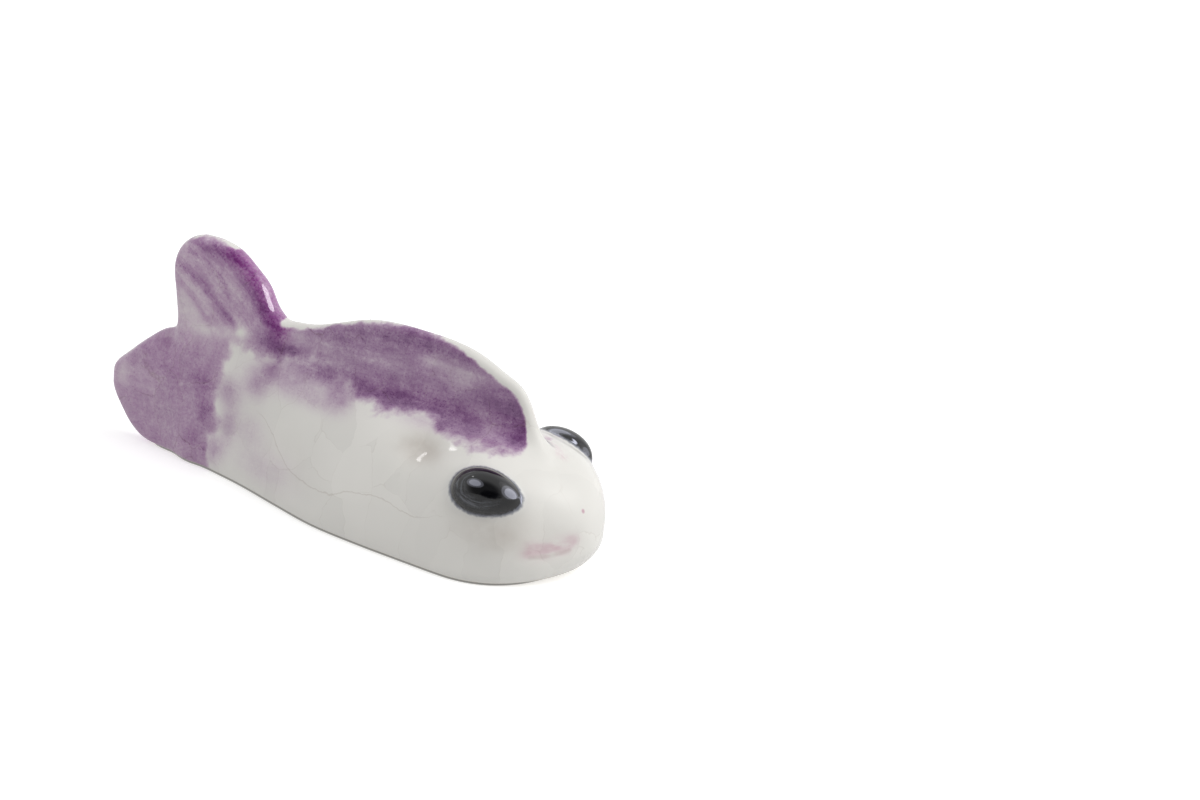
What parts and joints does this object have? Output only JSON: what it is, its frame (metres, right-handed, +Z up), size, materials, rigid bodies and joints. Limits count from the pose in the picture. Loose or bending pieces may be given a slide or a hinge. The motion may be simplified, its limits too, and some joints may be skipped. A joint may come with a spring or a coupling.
{
  "type": "fish figurine",
  "caption": "Small hand-modelled ceramic fish standing on a flat foot, with a dorsal fin, an upright forked tail and domed eyes.",
  "frame": {"origin": "middle of the flat foot, on the surface that the fish stands on", "axes": "+X towards the nose, +Y towards the fish's left side, +Z up"},
  "size_m": [0.0836, 0.0289, 0.0343],
  "materials": {
    "glazed_body": "finely crazed clear gloss glaze over off-white clay, bare and matt on the foot",
    "washed_fin": "brushed purple underglaze wash under clear gloss glaze, with a cream rim",
    "washed_tail": "brushed purple underglaze wash under clear gloss glaze, with a cream rim",
    "black_eye": "black high-gloss glaze"
  },
  "bodies": {
    "root": {"body": "glazed_body", "dorsal_fin": "washed_fin", "tail_upper_lobe": "washed_tail", "tail_lower_lobe": "washed_tail", "right_eye": "black_eye", "left_eye": "black_eye"}
  },
  "joints": []
}
